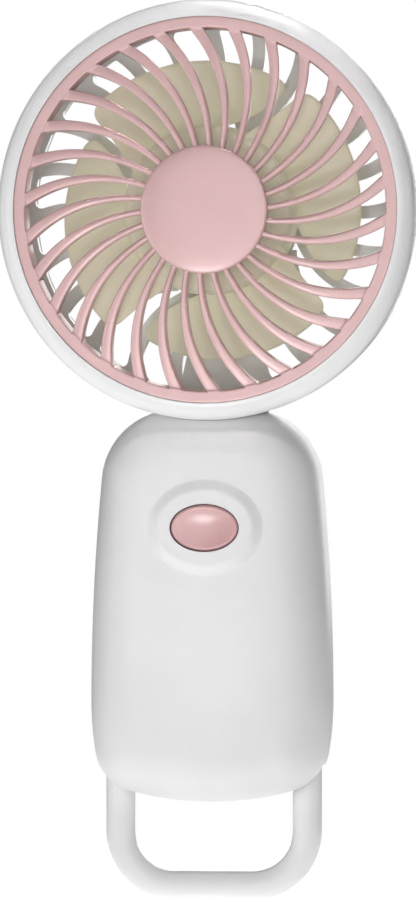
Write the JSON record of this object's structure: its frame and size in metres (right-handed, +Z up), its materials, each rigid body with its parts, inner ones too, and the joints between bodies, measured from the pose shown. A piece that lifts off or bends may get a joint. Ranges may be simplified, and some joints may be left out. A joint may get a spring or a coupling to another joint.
{
  "type": "handheld electric fan",
  "caption": "Handheld battery fan: round head with a swirled front grille and impeller, flat oval handle with an oval push button, and a swinging U-shaped loop at its foot.",
  "frame": {"origin": "middle of the hand grip, on the centre line of the handle half way up its body", "axes": "+Z up along the handle towards the fan head, +Y backward against the air flow, -Y towards the front where the air comes out, +X to the right seen from the front"},
  "size_m": [0.09, 0.0274, 0.193],
  "materials": {
    "pink_satin": "dusty pink moulded plastic, fine satin grain",
    "pink_gloss": "dusty pink plastic, polished",
    "white_gloss": "white moulded plastic, smooth satin gloss",
    "cream_plastic": "cream moulded plastic, faintly pearly",
    "black_plastic": "black moulded plastic",
    "steel": "bright zinc plate",
    "stator_steel": "stacked electrical steel, lacquered",
    "copper": "enamelled copper wire",
    "magnet": "bonded ferrite",
    "board_green": "solder-masked glass fibre board",
    "battery_wrap": "silver laminated pouch",
    "foam": "closed-cell foam",
    "wire_jacket": "soft white insulated hook-up wire",
    "pale_washer": "slippery acetal",
    "bearing_bronze": "sintered bronze"
  },
  "bodies": {
    "handle": {"front_ring": "white_gloss", "front_grille": "pink_satin", "grille_cap": "pink_satin", "rear_housing": "white_gloss", "rear_grille": "white_gloss", "motor_bearings": "bearing_bronze", "motor_base": "black_plastic", "motor_screws": "steel", "stator_core": "stator_steel", "stator_coils": "copper", "motor_board": "board_green", "motor_wires": "wire_jacket", "front_shell": "white_gloss", "rear_shell": "white_gloss", "body_screws": "steel", "switch_body": "steel", "circuit_board": "board_green", "control_chips": "black_plastic", "charge_inductor": "black_plastic", "wire_connectors": "pale_washer", "usb_socket": "steel", "usb_tongue": "black_plastic", "board_screws": "steel", "battery_cell": "battery_wrap", "battery_board": "board_green", "battery_pad": "foam", "battery_wires": "wire_jacket", "loop_pins": "steel", "loop_washers": "pale_washer"},
    "rotor": {"impeller": "cream_plastic", "rotor_yoke": "steel", "magnet_ring": "magnet", "rotor_shaft": "steel", "shaft_clip": "steel"},
    "power_button": {"button": "pink_gloss", "switch_plunger": "black_plastic"},
    "loop": {"stand_loop": "white_gloss"}
  },
  "joints": [
    {"name": "fan_spin", "type": "hinge", "parent": "handle", "child": "rotor", "pos_m": [0, 0, 0.08475], "axis": [0, 1, 0], "continuous": true},
    {"name": "button_press", "type": "slide", "parent": "handle", "child": "power_button", "axis": [0, 1, 0], "range_m": [0, 0.0005], "stiffness_N_per_m": 3000},
    {"name": "loop_swing", "type": "hinge", "parent": "handle", "child": "loop", "pos_m": [0, 0.0025, -0.029], "axis": [1, 0, 0], "range_deg": [0, 90]}
  ]
}
